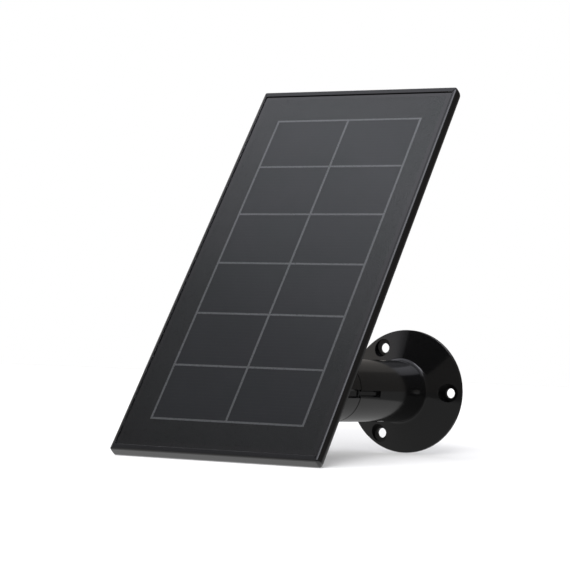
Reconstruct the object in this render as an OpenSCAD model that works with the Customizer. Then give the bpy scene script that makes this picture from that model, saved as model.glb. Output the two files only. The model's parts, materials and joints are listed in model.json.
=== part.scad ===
// Solar charging panel on an adjustable wall arm.
// Origin: centre of the wall plate's back face. +Y into the wall, +Z up, the arm runs along -Y.

/* [Wall plate] */
// Outside diameter of the wall plate
plate_d = 65; // [60:1:75]
// Thickness of the plate at its rim
plate_rim = 2.2; // [2:0.1:3]
// Height of the plate's cone above the wall
cone_rise = 9.3; // [8:0.1:11]
// Diameter of the crease where the cone ends
crease_d = 34.8; // [34:0.1:38]
// Pitch circle diameter of the screw holes
hole_pcd = 52.2; // [51:0.1:53]
// Diameter of the screw holes
hole_d = 5.2; // [4.5:0.1:5.5]
// Diameter of the counterbore for a screw's head
head_d = 9.6; // [9:0.1:10]
// Plate thickness left under a screw's head
head_floor = 2.0; // [1.8:0.1:2.5]
// Number of screws, and of grooves in the arm
screws = 3; // [3:1:4]

/* [Arm] */
// Outside diameter of the arm tube and the lock ring
arm_d = 31.6; // [31:0.1:33]
// Distance from the wall to the seam of the lock ring
seam_reach = 84.5; // [80:0.5:88]
// Width of the grooves along the tube
groove_w = 3.4; // [3:0.1:4.4]
// Width of the grooves along the lock ring
ring_groove_w = 4.6; // [3:0.1:5.4]
// Depth of the grooves
groove_depth = 1.3; // [0.8:0.1:1.5]
// Length of the groove in the tube, behind the seam
groove_len = 21.5; // [10:0.5:30]
// Angle from each screw down to its groove
groove_turn = 4.8; // [0:0.1:20]

/* [Ball joint] */
// Distance from the wall to the ball's centre
ball_reach = 118; // [117:0.5:119]
// Diameter of the pivot ball
ball_d = 24; // [23.8:0.1:24]
// Tilt of the panel's face up from facing straight out
panel_tilt = 36.1; // [-43:0.1:43]
// Major diameter of the stud, 1/4-20
stud_d = 6.2; // [6:0.1:6.35]
// Distance from the ball's centre to the glass
glass_reach = 49.1; // [48.5:0.1:50]
// Distance of the stud's axis below the panel's centre
stud_drop = 39.2; // [36:0.1:42]

/* [Panel] */
// Width of the panel over its rounded long sides
frame_w = 110; // [109.6:0.1:111]
// Height of the panel
frame_h = 225.3; // [225:0.1:226]
// Radius of the rounded long sides
side_r = 6; // [5:0.1:8]
// Depth of the front frame behind the glass
frame_depth = 6; // [6:0.1:6.2]
// Height of the rim in front of the glass
rim_rise = 0.5; // [0.3:0.1:0.8]
// Width of the glass
glass_w = 105.2; // [105:0.1:105.4]
// Height of the glass
glass_h = 218.8; // [218:0.1:219]
// Gap between the glass and its rim
glass_gap = 0.2; // [0.1:0.05:0.3]
// Total depth of the flat part of the panel behind the glass
shell_depth = 11; // [10.8:0.1:11.5]
// Depth of the raised housing behind the glass
hump_depth = 20; // [20:0.1:20.5]

/* [Solar cells] */
// Number of columns of cells
cell_cols = 2; // [2:1:2]
// Number of rows of cells
cell_rows = 6; // [6:1:6]
// Distance between the middles of neighbouring columns
cell_pitch_x = 40; // [38:0.1:41]
// Distance between the middles of neighbouring rows
cell_pitch_y = 31.09; // [30:0.01:32]
// Width of the light lines
line_w = 1.1; // [0.8:0.1:1.5]

/* [Hidden] */
$fn = 96;
hull_fn = 32;
cut = 0.01;                 // how far a cutting tool runs past the face it opens

// Fits
run_gap = 0.08;             // radial clearance of a running fit
ball_gap = 0.1;             // gap between the ball joint's spherical faces
free_gap = 0.3;             // gap between bodies that only pass each other

// Wall base, along the arm from the wall
plate_r = plate_d / 2;
arm_r = arm_d / 2;
root_len = 2.4;             // length of the round blend from the crease to the tube
bore_r = 12.3;              // hollow of the tube
bore_len = 79;
spigot_r = 13.32;           // the spigot carries the lock ring's thread
spigot_bore_r = 10.5;
spigot_end = ball_reach - 8;
groove_slope = 0.7;         // how much each side of a groove leans out per depth
core_r = 10;                // narrower hollow inside the spigot
core_end = 95.5;
spring_seat = 99.5;
pocket_in = 15.4;           // coring pocket in the plate's back
pocket_out = 20.6;
pocket_depth = 4.2;
pocket_ribs = 6;

// Lock ring
ring_back = seam_reach + 0.2;
ring_front = ball_reach + 8;
ring_bore_r = spigot_r + run_gap;
seal_r = 15.05;
seal_bore_r = 13.45;
seal_back = ring_back + 0.2;
seal_t = 1.2;
mouth_r = 11.8;             // throat that holds the shield in
mouth_flare_r = 13.5;
lip_round = 1.2;

// Shield, ball and cup share the ball's centre
ball_r = ball_d / 2;
shield_in = ball_r + ball_gap;
shield_out = ring_bore_r - ball_gap;
shield_back = -5;           // the shield's band reaches this far behind the centre
ball_flat = 11.2;           // flat on the ball where the stud comes out
slot_half = stud_d / 2 + free_gap;
seat_r = ring_bore_r;
throat = sqrt(seat_r * seat_r - mouth_r * mouth_r);
cup_r = spigot_bore_r - ball_gap;
cup_front = -7.5;
cup_back = -14.5;
spring_count = 3;
spring_t = 0.7;
spring_in = 5;
spring_out = 10;

// Stud, nut and washer, along the stud from the ball's centre
stud_r = stud_d / 2;
stud_head_r = 5;
stud_head_t = 3;
head_bore_r = 5.4;
head_seat = -3;             // step in the ball that holds the stud's head
wave_t = 0.3;
stud_head = head_seat - wave_t - 0.05;
boss_face = glass_reach - hump_depth;
stud_end = boss_face + 8.5;
washer_t = 1;
washer_r = 7;
washer_far = boss_face - 0.1;
washer_near = washer_far - washer_t;
nut_far = washer_near - 0.1;
nut_len = 6.3;
nut_near = nut_far - nut_len;
nut_r = 8.8;
nut_flutes = 14;
thread_bore_r = stud_r + 0.06;

// Panel layers, measured back from the front of the glass
glass_t = 0.8;
film_t = 0.2;
cell_t = 0.3;
board_t = 2;
cell_front = -(glass_t + film_t);
cell_back = cell_front - cell_t;
board_back = cell_back - board_t;
tape_t = 0.4;
ledge_front = board_back - tape_t;
frame_back = -frame_depth;
open_w = glass_w + 2 * glass_gap;
open_h = glass_h + 2 * glass_gap;
ledge_w = 92;
ledge_h = 205;
corner_r = 3;
foot_r = 1.65;              // rounding of the short sides' rear edge
foot_flat = 4;              // the short sides stay flat this far behind the glass
grid_w = cell_cols * cell_pitch_x + line_w;
grid_h = cell_rows * cell_pitch_y + line_w;
cell_w = cell_pitch_x - line_w;
cell_h = cell_pitch_y - line_w;

// Back shell
wall = 1.8;
shell_w = 106;              // at the seam
shell_h = 221.2;
rear_w = 100;               // at the rear face
rear_h = 213.2;
shell_back = -shell_depth;
floor_z = shell_back + wall;
gasket_w = 1.4;
gasket_t = 0.8;
hump_x = 46;
hump_top = 25.2;            // above and below the stud's axis
hump_low = 32.8;
hump_wall = 2;
hump_taper = 1.5;
hump_back = -hump_depth;
hump_floor = hump_back + hump_wall;
hump_y = -stud_drop + (hump_top - hump_low) / 2;
hump_h = hump_top + hump_low;
hump_foot = -stud_drop - hump_low;
hump_r = 6;

// Screws of the case
screw_x = 45;
screw_ys = [-100, -36, 36, 100];
post_r = 3;
post_back = -8.8;
shank_r = 1.2;
screw_head_r = 2.3;
screw_head_t = 1.1;
head_pocket_r = 2.6;
head_pocket = 1.2;
shank_tip = -4.6;

// Stud insert in its post
insert_r = 4.5;
insert_len = 9.5;
insert_post_r = 8;
insert_post_z = -8;

// Electronics
pcb_w = 39;
pcb_h = 19;
pcb_r = 3;
pcb_t = 1;
pcb_y = -59.4;
pcb_back = -14;
pcb_front = pcb_back + pcb_t;
standoff_x = 16;
standoff_r = 2.4;
board_shank_r = 0.9;
board_head_r = 1.8;
socket_w = 9;
socket_t = 3.2;
socket_len = 7.4;
socket_z = pcb_back - socket_t / 2;
port_w = 10;
port_h = 3.6;
socket_front = hump_foot + 1.7;
lead_r = 0.65;
lead_x = 5;
lead_y = -53.5;
vent_x = 14;
vent_y = -22;
vent_r = 3;

// Port cover and its hinge on the housing's lower face
flap_w = 15;
flap_t = 1.5;
flap_face = hump_foot - 0.2;
flap_top = -11.9;
flap_low = -17.7;
hinge_y = hump_foot - 1.1;
hinge_z = -19;
knuckle_r = 0.9;
knuckle_w = 9;
pin_r = 0.5;
lug_w = 1.6;
plug_w = 8.6;
plug_low = -17;
plug_top = -14.5;
plug_reach = 1.2;

// ---- frames ----

// z runs out from the wall along the arm, y is up
module arm_frame() {
    rotate([90, 0, 0]) children();
}

// z runs out of the ball along the stud, y is up the panel
module stud_frame() {
    translate([0, -ball_reach, 0]) rotate([90 - panel_tilt, 0, 0]) children();
}

// z is out of the glass, from the middle of its front face
module panel_frame() {
    stud_frame() translate([0, stud_drop, glass_reach]) children();
}

// z runs out from the wall, from the ball's centre
module ball_frame() {
    arm_frame() translate([0, 0, ball_reach]) children();
}

// ---- shapes that repeat ----

module rounded_rect(w, h, r) {
    square([w - 2 * r, h], center = true);
    square([w, h - 2 * r], center = true);
    for (sx = [-1, 1], sy = [-1, 1])
        translate([sx * (w / 2 - r), sy * (h / 2 - r)]) circle(r);
}

// A slab of the panel from z0 up to z1
module slab(w, h, r, z0, z1) {
    translate([0, 0, z0]) linear_extrude(z1 - z0) rounded_rect(w, h, r);
}

// A tapered block between two rounded outlines
module tapered(w0, h0, r0, z0, w1, h1, r1, z1) {
    hull($fn = hull_fn) {
        slab(w0, h0, r0, z0, z0 + cut, $fn = hull_fn);
        slab(w1, h1, r1, z1 - cut, z1, $fn = hull_fn);
    }
}

module tube(r_out, r_in, z0, z1) {
    translate([0, 0, z0]) difference() {
        cylinder(r = r_out, h = z1 - z0);
        translate([0, 0, -cut]) cylinder(r = r_in, h = z1 - z0 + 2 * cut);
    }
}

module rod(r, z0, z1) {
    translate([0, 0, z0]) cylinder(r = r, h = z1 - z0);
}

// A block between two z levels, centred on x and y
module block(w, h, z0, z1) {
    translate([-w / 2, -h / 2, z0]) cube([w, h, z1 - z0]);
}

// Copies the children round z, once for each wall screw
module each_screw() {
    for (i = [0:screws - 1]) rotate([0, 0, i * 360 / screws]) children();
}

// Copies the children at each screw of the case
module each_case_screw() {
    for (sx = [-1, 1], y = screw_ys) translate([sx * screw_x, y, 0]) children();
}

// Grooves along the arm, with leaning sides
module grooves(width, z0, z1) {
    over = 1;
    foot = width / 2 - groove_depth * groove_slope;
    top = width / 2 + over * groove_slope;
    rotate([0, 0, -groove_turn]) each_screw() translate([arm_r - groove_depth, 0, z0])
        linear_extrude(z1 - z0)
            polygon([[0, -foot], [groove_depth + over, -top], [groove_depth + over, top], [0, foot]]);
}

// A pan-head screw, head down at z = 0, shank up
module pan_screw(head_r, head_t, shank, length) {
    difference() {
        union() {
            rod(head_r, 0, head_t);
            rod(shank, head_t, head_t + length);
        }
        for (a = [0, 90]) rotate([0, 0, a]) block(2.2, 0.6, -cut, 0.6);
    }
}

// ---- wall base ----

function arc(cx, cz, r, from, to, n) =
    [for (i = [0:n]) let (a = from + (to - from) * i / n) [cx + r * cos(a), cz + r * sin(a)]];

module base_profile() {
    rim = 0.5;
    polygon(concat(
        [[bore_r, 0], [plate_r, 0]],
        arc(plate_r - rim, plate_rim - rim, rim, 0, 65, 6),
        [[crease_d / 2, cone_rise]],
        arc(arm_r + root_len, cone_rise + root_len, root_len, 225, 180, 8),
        [
            [arm_r, seam_reach - 0.7], [arm_r - 0.4, seam_reach - 0.3], [spigot_r, seam_reach - 0.3],
            [spigot_r, spigot_end - 0.4], [spigot_r - 0.4, spigot_end], [spigot_bore_r, spigot_end],
            [spigot_bore_r, spring_seat], [0, spring_seat], [0, core_end], [core_r, core_end],
            [core_r, bore_len + 2.3], [bore_r, bore_len]
        ]
    ));
}

module wall_base() {
    color("#161616") arm_frame() difference() {
        rotate_extrude() base_profile();
        each_screw() translate([hole_pcd / 2, 0, 0]) {
            rod(hole_d / 2, -cut, cone_rise);
            rod(head_d / 2, head_floor, cone_rise);
        }
        grooves(groove_w, seam_reach - groove_len, seam_reach);
        difference() {
            tube(pocket_out, pocket_in, -cut, pocket_depth);
            for (i = [0:pocket_ribs - 1])
                rotate([0, 0, (i + 0.5) * 360 / pocket_ribs])
                    translate([0, -0.8, -1]) cube([plate_r, 1.6, pocket_depth + 2]);
        }
    }
}

module friction_cup() {
    color("#d8d6cc") ball_frame() difference() {
        rod(cup_r, cup_back, cup_front);
        sphere(shield_in);
        rod(2, cup_back - cut, cup_front);
    }
}

module disc_springs() {
    space = cup_back - (spring_seat - ball_reach);
    step = space / spring_count;
    color("#8a8c90") ball_frame() for (i = [0:spring_count - 1]) {
        low = spring_seat - ball_reach + i * step;
        up = i % 2 == 0;
        inner = up ? low : low + step - spring_t;
        outer = up ? low + step - spring_t : low;
        rotate_extrude() polygon([
            [spring_in, inner], [spring_out, outer],
            [spring_out, outer + spring_t], [spring_in, inner + spring_t]
        ]);
    }
}

// ---- lock ring ----

module ring_seal() {
    color("#202020") arm_frame() tube(seal_r, seal_bore_r, seal_back, seal_back + seal_t);
}

module lock_ring() {
    color("#181818") arm_frame() difference() {
        rotate_extrude() polygon(concat(
            [
                [0, ring_back], [arm_r - 0.4, ring_back], [arm_r, ring_back + 0.4],
                [arm_r, ring_front - lip_round]
            ],
            arc(arm_r - lip_round, ring_front - lip_round, lip_round, 0, 90, 8),
            [[0, ring_front]]
        ));
        rod(seal_r + 0.05, ring_back - cut, seal_back + seal_t + 0.05);
        rod(ring_bore_r, ring_back - cut, ball_reach);
        translate([0, 0, ball_reach]) {
            sphere(seat_r);
            translate([0, 0, throat - cut])
                cylinder(r1 = mouth_r, r2 = mouth_flare_r, h = 8 - throat + 2 * cut);
        }
        grooves(ring_groove_w, ring_back - cut, ring_front + cut);
    }
}

// ---- ball joint ----

module ball_shield() {
    color("#1d1d1d") ball_frame() difference() {
        sphere(shield_out);
        sphere(shield_in);
        translate([0, 0, shield_back - 20]) cylinder(r = 20, h = 20);
        block(2 * slot_half, 2 * shield_in, 0, 20);
    }
}

module pivot_ball() {
    color("#1b1b1b") stud_frame() difference() {
        sphere(ball_r);
        rod(ball_r, ball_flat, ball_r + 1);
        rod(thread_bore_r, -ball_r, ball_r);
        rod(head_bore_r, -ball_r - 1, head_seat);
    }
}

module stud_washer() {
    color("#8f9194") stud_frame() tube(stud_head_r, thread_bore_r + 0.05, head_seat - wave_t, head_seat);
}

// A headed stud: the head turns inside the ball
module stud() {
    point = 0.8;
    color("#a9abad") stud_frame() difference() {
        union() {
            rod(stud_head_r, stud_head - stud_head_t, stud_head);
            rod(stud_r, stud_head - cut, stud_end - point);
            translate([0, 0, stud_end - point]) cylinder(r1 = stud_r, r2 = stud_r - point, h = point);
        }
        rod(2.3, stud_head - stud_head_t - cut, stud_head - 1, $fn = 6);
    }
}

module jam_washer() {
    color("#9b9da0") stud_frame() tube(washer_r, thread_bore_r, washer_near, washer_far);
}

module jam_nut() {
    color("#1c1c1c") stud_frame() difference() {
        rod(nut_r, nut_near, nut_far);
        rod(thread_bore_r, nut_near - cut, nut_far + cut);
        for (i = [0:nut_flutes - 1])
            rotate([0, 0, i * 360 / nut_flutes])
                translate([nut_r + 0.5, 0, 0]) rod(1.1, nut_near - cut, nut_far + cut);
    }
}

// ---- panel front ----

// Cross-section of the frame: rounded long sides
module frame_side_profile() {
    mid = (rim_rise - frame_depth) / 2;
    span = asin((rim_rise - mid) / side_r);
    polygon(concat(
        arc(frame_w / 2 - side_r, mid, side_r, -span, span, 16),
        arc(side_r - frame_w / 2, mid, side_r, 180 - span, 180 + span, 16)
    ));
}

// Section from top to bottom: flat faces with a rounded rear edge
module frame_end_profile() {
    half = frame_h / 2;
    square_back = foot_flat;
    polygon(concat(
        [[-half, rim_rise], [-half, -square_back]],
        arc(-half + foot_r, -square_back, foot_r, 180, 230, 6),
        [[-half + foot_r, frame_back], [half - foot_r, frame_back]],
        arc(half - foot_r, -square_back, foot_r, -50, 0, 6),
        [[half, rim_rise]]
    ));
}

module front_frame() {
    color("#1a1a1b") panel_frame() {
        difference() {
            intersection() {
                translate([0, frame_h / 2 + 1, 0]) rotate([90, 0, 0])
                    linear_extrude(frame_h + 2) frame_side_profile();
                translate([-frame_w / 2 - 1, 0, 0]) rotate([90, 0, 90])
                    linear_extrude(frame_w + 2) frame_end_profile();
                slab(frame_w, frame_h, corner_r, frame_back, rim_rise);
            }
            slab(open_w, open_h, 1.2, ledge_front, rim_rise + cut);
            slab(ledge_w, ledge_h, corner_r, frame_back - cut, ledge_front + cut);
            gasket_ring(frame_back - cut, frame_back + gasket_t);
            each_case_screw() rod(shank_r, frame_back - cut, shank_tip);
        }
        each_case_screw() tube(post_r, shank_r, post_back, frame_back + cut);
    }
}

module cover_glass() {
    color("#2a2d33") panel_frame() slab(glass_w, glass_h, 1, -glass_t, 0);
}

module encapsulant() {
    color("#c8ccd0") panel_frame() slab(glass_w, glass_h, 1, cell_front, -glass_t);
}

// Middle of cell i, counted along each row from the top left
function cell_x(i) = ((i % cell_cols) - (cell_cols - 1) / 2) * cell_pitch_x;
function cell_y(i) = ((cell_rows - 1) / 2 - floor(i / cell_cols)) * cell_pitch_y;

module cell_grid() {
    color("#9a9ca0") panel_frame() difference() {
        block(grid_w, grid_h, cell_back, cell_front);
        for (i = [0:cell_cols * cell_rows - 1])
            translate([cell_x(i), cell_y(i), 0]) block(cell_w, cell_h, cell_back - cut, cell_front + cut);
    }
}

module border_mask() {
    color("#141518") panel_frame() difference() {
        slab(glass_w, glass_h, 1, cell_back, cell_front);
        block(grid_w, grid_h, cell_back - cut, cell_front + cut);
    }
}

module solar_cell(i) {
    color("#1c1f26") panel_frame() translate([cell_x(i), cell_y(i), 0])
        block(cell_w, cell_h, cell_back, cell_front);
}

module backing_board() {
    color("#101214") panel_frame() slab(glass_w, glass_h, 1, board_back, cell_back);
}

module edge_tape() {
    color("#2b2b2b") panel_frame() difference() {
        slab(glass_w - 1, glass_h - 1, 1, ledge_front, board_back);
        slab(ledge_w + 4, ledge_h + 4, 1, ledge_front - cut, board_back + cut);
    }
}

module ribbons() {
    ribbon_w = 2.5;
    ribbon_t = 0.2;
    top = cell_rows * cell_pitch_y / 2 - 8;
    color("#b87a45") panel_frame() for (s = [-1, 1])
        translate([s * lead_x - ribbon_w / 2, lead_y - 2, board_back - ribbon_t])
            cube([ribbon_w, top - lead_y, ribbon_t]);
}

// ---- panel back ----

// The case's seal, along the middle of the shell's edge
module gasket_ring(z0, z1) {
    outer = (gasket_w - wall) / 2;
    inner = outer - 2 * gasket_w;
    difference() {
        slab(shell_w + outer, shell_h + outer, corner_r, z0, z1);
        slab(shell_w + inner, shell_h + inner, corner_r - 1, z0 - cut, z1 + cut);
    }
}

module case_gasket() {
    color("#3a3a3a") panel_frame() gasket_ring(frame_back, frame_back + gasket_t);
}

module shell_body() {
    tapered(rear_w, rear_h, 4, shell_back, shell_w, shell_h, corner_r, frame_back);
    translate([0, hump_y, 0])
        tapered(hump_x - 2 * hump_taper, hump_h - hump_taper, hump_r, hump_back,
                hump_x + 2, hump_h, hump_r, shell_back + cut);
}

module shell_hollow() {
    tapered(rear_w - 2 * wall, rear_h - 2 * wall, 3, floor_z,
            shell_w - 2 * wall, shell_h - 2 * wall, corner_r - 1, frame_back + cut);
    translate([0, hump_y, 0])
        tapered(hump_x - 2 * hump_taper - 2 * hump_wall, hump_h - hump_taper - 2 * hump_wall, hump_r - 2,
                hump_floor, hump_x - 2 * hump_wall, hump_h - 2 * hump_wall, hump_r - 2, floor_z + cut);
}

// Lies along the cover's hinge, with z along the pin
module hinge_frame() {
    translate([0, hinge_y, hinge_z]) rotate([0, 90, 0]) children();
}

module hinge_lugs() {
    middle = (knuckle_w + lug_w) / 2 + free_gap;
    for (x = [-middle, middle]) translate([x, 0, 0]) {
        hinge_frame() rod(knuckle_r, -lug_w / 2, lug_w / 2);
        translate([-lug_w / 2, hinge_y, hinge_z - knuckle_r]) cube([lug_w, 2.2, 2 * knuckle_r]);
    }
}

module back_shell() {
    color("#1a1a1a") panel_frame() difference() {
        union() {
            difference() {
                shell_body();
                shell_hollow();
            }
            each_case_screw() rod(post_r, floor_z - cut, post_back);
            translate([0, -stud_drop, 0]) rod(insert_post_r, hump_floor - cut, insert_post_z);
            for (s = [-1, 1]) translate([s * standoff_x, pcb_y, 0])
                rod(standoff_r, hump_floor - cut, pcb_back);
            hinge_lugs();
        }
        each_case_screw() {
            rod(shank_r, shell_back, post_back + cut);
            rod(head_pocket_r, shell_back - cut, shell_back + head_pocket);
        }
        translate([0, -stud_drop, 0]) rod(insert_r, hump_back - cut, hump_back + insert_len);
        for (s = [-1, 1]) translate([s * standoff_x, pcb_y, 0])
            rod(board_shank_r, hump_floor + 0.6, pcb_back + cut);
        translate([-port_w / 2, hump_foot - 2, socket_z - port_h / 2]) cube([port_w, 6, port_h]);
        translate([vent_x, vent_y, 0]) rod(0.75, hump_back - cut, hump_floor + cut);
        hinge_frame() rod(pin_r, -knuckle_w, knuckle_w);
    }
}

module case_screws() {
    start = shell_back + 0.1;
    color("#6e7073") panel_frame() each_case_screw() translate([0, 0, start])
        pan_screw(screw_head_r, screw_head_t, shank_r, shank_tip - start - screw_head_t);
}

module stud_insert() {
    color("#b5913c") panel_frame() translate([0, -stud_drop, 0]) difference() {
        rod(insert_r, hump_back, hump_back + insert_len);
        rod(thread_bore_r, hump_back - cut, hump_back + insert_len + cut);
        for (z = [2.2, 4.6, 7]) tube(insert_r + 1, insert_r - 0.4, hump_back + z, hump_back + z + 0.8);
    }
}

// ---- electronics ----

module circuit_board() {
    color("#1f5c38") panel_frame() translate([0, pcb_y, 0]) difference() {
        slab(pcb_w, pcb_h, pcb_r, pcb_back, pcb_front);
        for (s = [-1, 1]) translate([s * standoff_x, 0, 0])
            rod(board_shank_r + 0.1, pcb_back - cut, pcb_front + cut);
    }
}

module inductor() {
    color("#4a4a4c") panel_frame() translate([-8, pcb_y + 1, 0]) {
        block(7, 7, pcb_front, pcb_front + 0.8);
        rod(3, pcb_front + 0.7, pcb_front + 3.2);
        rod(3.5, pcb_front + 3.2, pcb_front + 4);
    }
}

module capacitors() {
    color("#2c2f36") panel_frame() for (x = [3, 9]) translate([x, pcb_y - 3, 0]) {
        block(5.3, 5.3, pcb_front, pcb_front + 0.9);
        rod(2.5, pcb_front + 0.8, pcb_front + 5.4);
    }
}

module diodes() {
    color("#1e1e1e") panel_frame() for (y = [2, 6]) translate([11, pcb_y + y, 0])
        block(4.3, 2.6, pcb_front, pcb_front + 1.1);
}

module regulator_chip() {
    color("#151515") panel_frame() translate([4, pcb_y + 4, 0]) block(5, 4, pcb_front, pcb_front + 1);
}

module output_socket() {
    shell_t = 0.4;
    color("#b4b6b8") panel_frame() translate([0, socket_front, socket_z]) difference() {
        translate([-socket_w / 2, 0, -socket_t / 2]) cube([socket_w, socket_len, socket_t]);
        translate([-socket_w / 2 + shell_t, -cut, -socket_t / 2 + shell_t])
            cube([socket_w - 2 * shell_t, socket_len - 1.2, 0.7]);
        translate([-socket_w / 2 + shell_t, -cut, socket_t / 2 - shell_t - 0.9])
            cube([socket_w - 2 * shell_t, socket_len - 1.2, 0.9]);
    }
}

// A saddle of foam under the socket, behind the housing's wall
module socket_gasket() {
    side = 1.3;
    under = 0.7;
    depth = 1.2;
    wall_face = hump_foot + hump_wall + hump_taper / 2 + 0.2;
    width = socket_w + 2 * side;
    color("#303030") panel_frame() translate([0, wall_face, socket_z - socket_t / 2]) difference() {
        translate([-width / 2, 0, -under]) cube([width, depth, under + socket_t - cut]);
        translate([-socket_w / 2, -cut, 0]) cube([socket_w, depth + 2 * cut, 2 * socket_t]);
    }
}

// A flap over the outlet, with a plug, a hinge tab and a grip ridge
module port_cover() {
    front = flap_face - flap_t;
    color("#242424") panel_frame() difference() {
        union() {
            translate([-flap_w / 2, front, flap_low]) cube([flap_w, flap_t, flap_top - flap_low]);
            translate([-plug_w / 2, flap_face - cut, plug_low])
                cube([plug_w, plug_reach, plug_top - plug_low]);
            translate([-knuckle_w / 2, front, hinge_z]) cube([knuckle_w, flap_t, flap_low - hinge_z + cut]);
            hinge_frame() rod(knuckle_r, -knuckle_w / 2, knuckle_w / 2);
            translate([0, front, flap_top - 1.6]) rotate([0, 90, 0]) rod(0.6, -3, 3);
        }
        hinge_frame() rod(pin_r + 0.06, -knuckle_w, knuckle_w);
    }
}

module port_pin() {
    half = knuckle_w / 2 + free_gap + lug_w;
    color("#a0a2a4") panel_frame() hinge_frame() rod(pin_r, -half, half);
}

// A wire from the ribbon down to the board, with one jog
module lead(x, jog) {
    knee = (board_back + pcb_front) / 2;
    panel_frame() {
        translate([x, lead_y, 0]) rod(lead_r, knee, board_back - 0.2);
        translate([x, lead_y, knee]) sphere(lead_r);
        translate([x, lead_y, knee]) rotate([0, jog > 0 ? 90 : -90, 0]) rod(lead_r, 0, abs(jog));
        translate([x + jog, lead_y, knee]) sphere(lead_r);
        translate([x + jog, lead_y, 0]) rod(lead_r, pcb_front, knee);
    }
}

module positive_lead() {
    color("#a01c1c") lead(lead_x, 3);
}

module negative_lead() {
    color("#141414") lead(-lead_x, -6);
}

module board_screws() {
    color("#7a7c7f") panel_frame() for (s = [-1, 1]) translate([s * standoff_x, pcb_y, pcb_front + 1.1])
        rotate([180, 0, 0]) pan_screw(board_head_r, 1.1, board_shank_r, 4);
}

module vent_membrane() {
    color("#dcdcda") panel_frame() translate([vent_x, vent_y, 0]) rod(vent_r, hump_floor, hump_floor + 0.3);
}

wall_base();
friction_cup();
disc_springs();
ring_seal();
lock_ring();
ball_shield();
pivot_ball();
stud_washer();
stud();
jam_washer();
jam_nut();
front_frame();
cover_glass();
encapsulant();
cell_grid();
border_mask();
for (i = [0:cell_cols * cell_rows - 1])
    solar_cell(i);
backing_board();
edge_tape();
ribbons();
case_gasket();
back_shell();
case_screws();
stud_insert();
circuit_board();
inductor();
capacitors();
diodes();
regulator_chip();
output_socket();
socket_gasket();
port_cover();
port_pin();
positive_lead();
negative_lead();
board_screws();
vent_membrane();
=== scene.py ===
"""Looks of the solar charging panel on its wall arm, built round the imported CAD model.

Lengths are in metres. Arm pieces are built in the arm's frame (z out from the wall), pieces of the ball
joint in the stud's frame (z out of the ball), and panel pieces in the panel's frame (z out of the glass).
"""
import json
import math

import bmesh
import bpy
import numpy as np
from mathutils import Matrix, Vector


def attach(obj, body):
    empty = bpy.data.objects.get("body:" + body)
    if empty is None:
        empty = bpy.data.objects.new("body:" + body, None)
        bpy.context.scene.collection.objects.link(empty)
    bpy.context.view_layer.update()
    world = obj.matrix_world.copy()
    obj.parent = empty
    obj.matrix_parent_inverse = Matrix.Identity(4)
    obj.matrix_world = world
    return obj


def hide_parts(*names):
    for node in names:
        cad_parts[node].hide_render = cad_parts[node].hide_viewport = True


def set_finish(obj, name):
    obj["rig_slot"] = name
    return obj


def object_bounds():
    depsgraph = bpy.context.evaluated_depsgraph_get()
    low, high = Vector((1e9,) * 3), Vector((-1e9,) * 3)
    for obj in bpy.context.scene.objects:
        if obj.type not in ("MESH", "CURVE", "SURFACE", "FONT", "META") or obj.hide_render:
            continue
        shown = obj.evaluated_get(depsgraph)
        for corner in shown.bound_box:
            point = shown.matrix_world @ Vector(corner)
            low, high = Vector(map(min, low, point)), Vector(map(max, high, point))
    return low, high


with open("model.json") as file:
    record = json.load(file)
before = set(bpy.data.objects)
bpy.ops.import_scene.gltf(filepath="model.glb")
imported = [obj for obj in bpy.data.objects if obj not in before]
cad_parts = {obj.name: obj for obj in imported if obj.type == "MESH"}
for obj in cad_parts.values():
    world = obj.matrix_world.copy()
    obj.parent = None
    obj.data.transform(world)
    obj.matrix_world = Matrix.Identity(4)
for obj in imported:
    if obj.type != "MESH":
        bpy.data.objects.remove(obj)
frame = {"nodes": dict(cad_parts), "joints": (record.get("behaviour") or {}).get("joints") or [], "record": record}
cad_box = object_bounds()

MM = 0.001
TAU = 2 * math.pi
SHARP_ANGLE = math.radians(34)    # edges sharper than this are rounded
ON_AXIS = 1e-7    # a lathe's ring smaller than this is one point
WELD = 2e-6       # vertices of a thread closer than this are merged


# ---------------------------------------------------------------- camera

CAMERA_PLACE = Vector((0.5063, -1.0517, 0.0118))
CAMERA_AZIMUTH = math.radians(28.99)    # round from straight in front, towards +X
CAMERA_ELEVATION = math.radians(-2.07)
CAMERA_ROLL = math.radians(2.21)
CAMERA_LENS = 138.54


def make_camera():
    back = Vector((
        math.sin(CAMERA_AZIMUTH) * math.cos(CAMERA_ELEVATION),
        -math.cos(CAMERA_AZIMUTH) * math.cos(CAMERA_ELEVATION),
        math.sin(CAMERA_ELEVATION),
    ))
    right = Vector((0, 0, 1)).cross(back).normalized()
    up = back.cross(right)
    c, s = math.cos(CAMERA_ROLL), math.sin(CAMERA_ROLL)
    axes = Matrix((c * right + s * up, c * up - s * right, back)).transposed()
    data = bpy.data.cameras.new("camera")
    data.lens = CAMERA_LENS
    data.sensor_width = 36
    data.clip_start, data.clip_end = 0.01, 30
    camera = bpy.data.objects.new("camera", data)
    camera.matrix_world = Matrix.Translation(CAMERA_PLACE) @ axes.to_4x4()
    bpy.context.scene.collection.objects.link(camera)
    bpy.context.scene.camera = camera


make_camera()


# ---------------------------------------------------------------- frames

def joint(name):
    return next(j for j in frame["joints"] if j["name"] == name)


def axes_at(origin, z_axis):
    """A frame at origin whose x is the row's, as a matrix from its coordinates to the row's."""
    x, z = Vector((1, 0, 0)), Vector(z_axis).normalized()
    m = Matrix((x, z.cross(x), z)).transposed().to_4x4()
    m.translation = origin
    return m


def local_box(node, matrix):
    """A CAD node's lowest and highest corners in a frame's own coordinates."""
    back = np.array(matrix.inverted())
    co = np.array([v.co for v in frame["nodes"][node].data.vertices])
    co = co @ back[:3, :3].T + back[:3, 3]
    return Vector(co.min(0)), Vector(co.max(0))


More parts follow.
